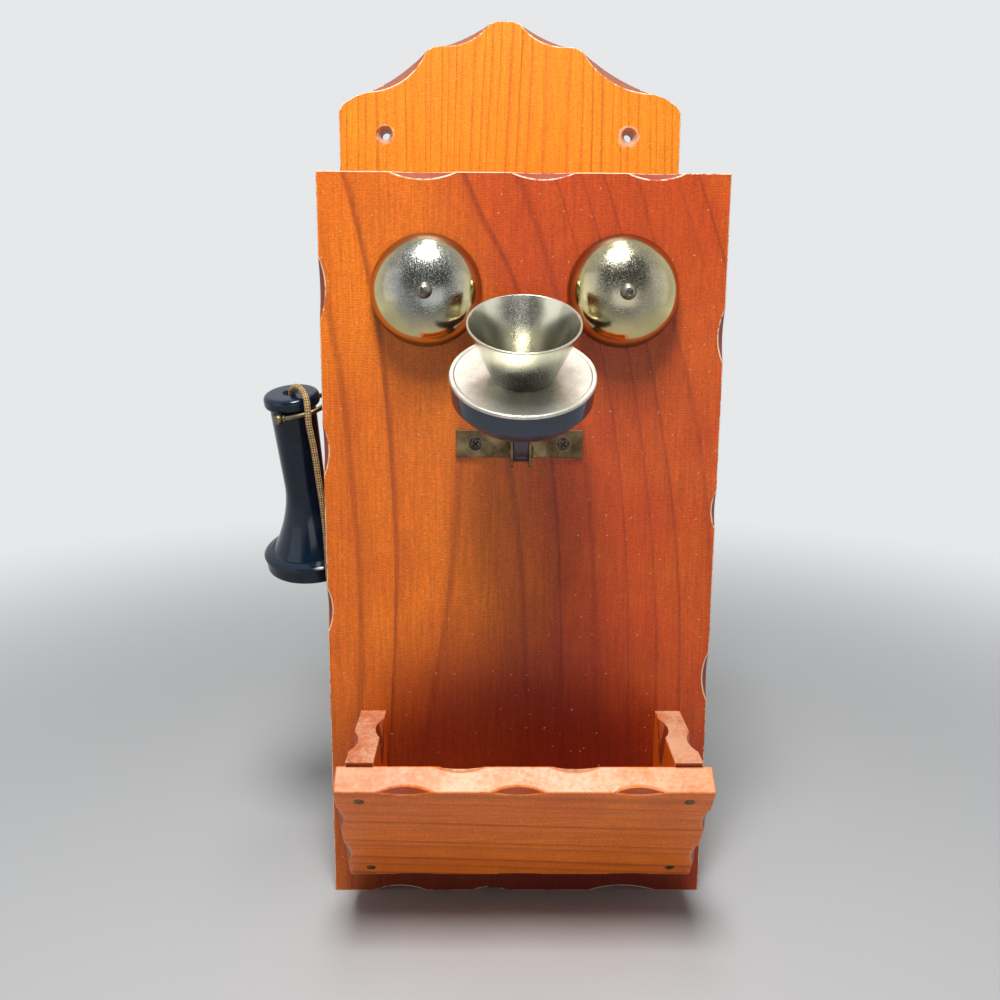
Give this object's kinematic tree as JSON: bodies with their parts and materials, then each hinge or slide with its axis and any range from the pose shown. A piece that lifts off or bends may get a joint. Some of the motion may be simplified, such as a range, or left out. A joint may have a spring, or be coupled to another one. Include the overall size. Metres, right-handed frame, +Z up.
{
  "type": "wall telephone",
  "caption": "Pine wall telephone with a gouge-edged front panel, gongs, a tilting transmitter, a receiver on a side hook and a leaning letter pocket at the foot.",
  "frame": {"origin": "on the underside of the case, in the middle of the front panel's width and of the case's depth", "axes": "+X to the right seen from the front, +Y to the wall, +Z up"},
  "size_m": [0.2677, 0.1933, 0.514],
  "materials": {
    "back_pine": "orange-stained pine under worn varnish",
    "case_pine": "stained pine",
    "panel_pine": "red-orange stained pine under satin varnish",
    "pocket_pine": "stained pine, grain along its length",
    "gong_brass": "pale plated brass, speckled with tarnish",
    "horn_nickel": "nickel-plated spun metal, worn",
    "aged_brass": "dull aged brass",
    "screw_steel": "darkened steel",
    "black_plastic": "moulded, glossy",
    "cord_braid": "braided cloth over a flexible core",
    "inner_steel": "plain",
    "capsule_metal": "plain",
    "magnet_iron": "plain",
    "grommet_rubber": "matt"
  },
  "bodies": {
    "case": {"back_board": "back_pine", "case_left_side": "case_pine", "case_right_side": "case_pine", "case_top": "case_pine", "case_bottom": "case_pine", "front_panel": "panel_pine", "back_screws": "screw_steel", "left_gong": "gong_brass", "right_gong": "gong_brass", "left_gong_post": "aged_brass", "right_gong_post": "aged_brass", "left_gong_screw": "screw_steel", "right_gong_screw": "screw_steel", "transmitter_bracket": "aged_brass", "bracket_screws": "screw_steel", "transmitter_pin": "aged_brass", "hook_bracket": "inner_steel", "hook_bracket_screws": "inner_steel", "hook_pin": "inner_steel", "spring_anchor": "inner_steel", "cord_grommet": "grommet_rubber", "pocket_front": "pocket_pine", "pocket_left_bracket": "pocket_pine", "pocket_right_bracket": "pocket_pine", "pocket_floor": "pocket_pine", "pocket_nails": "screw_steel"},
    "transmitter": {"transmitter_cup": "black_plastic", "transmitter_capsule": "capsule_metal", "transmitter_face": "horn_nickel", "mouthpiece": "horn_nickel"},
    "hook": {"hook_fork": "aged_brass", "hook_lever": "inner_steel", "hook_spring": "inner_steel"},
    "receiver": {"receiver_shell": "black_plastic", "receiver_top_cap": "black_plastic", "ear_cap": "black_plastic", "receiver_capsule": "capsule_metal", "receiver_magnet": "magnet_iron", "receiver_cord": "cord_braid"}
  },
  "joints": [
    {"name": "transmitter_tilt", "type": "hinge", "parent": "case", "child": "transmitter", "pos_m": [-0.0012, -0.08, 0.274], "axis": [1, 0, 0], "range_deg": [-12, 60]},
    {"name": "receiver_lift", "type": "slide", "parent": "case", "child": "receiver", "axis": [-0.8647, -0.0753, 0.4966], "range_m": [0, 0.07]},
    {"name": "hook_lift", "type": "hinge", "parent": "case", "child": "hook", "pos_m": [-0.062, -0.01912, 0.30273], "axis": [0, 1, 0], "range_deg": [0, 12], "stiffness_Nm_per_rad": 0.06, "springref_deg": 14.32, "deforming": ["hook_spring"]}
  ],
  "couplings": [
    {"joint": "hook_lift", "follows": "receiver_lift", "rad_per_m": 2.99}
  ]
}
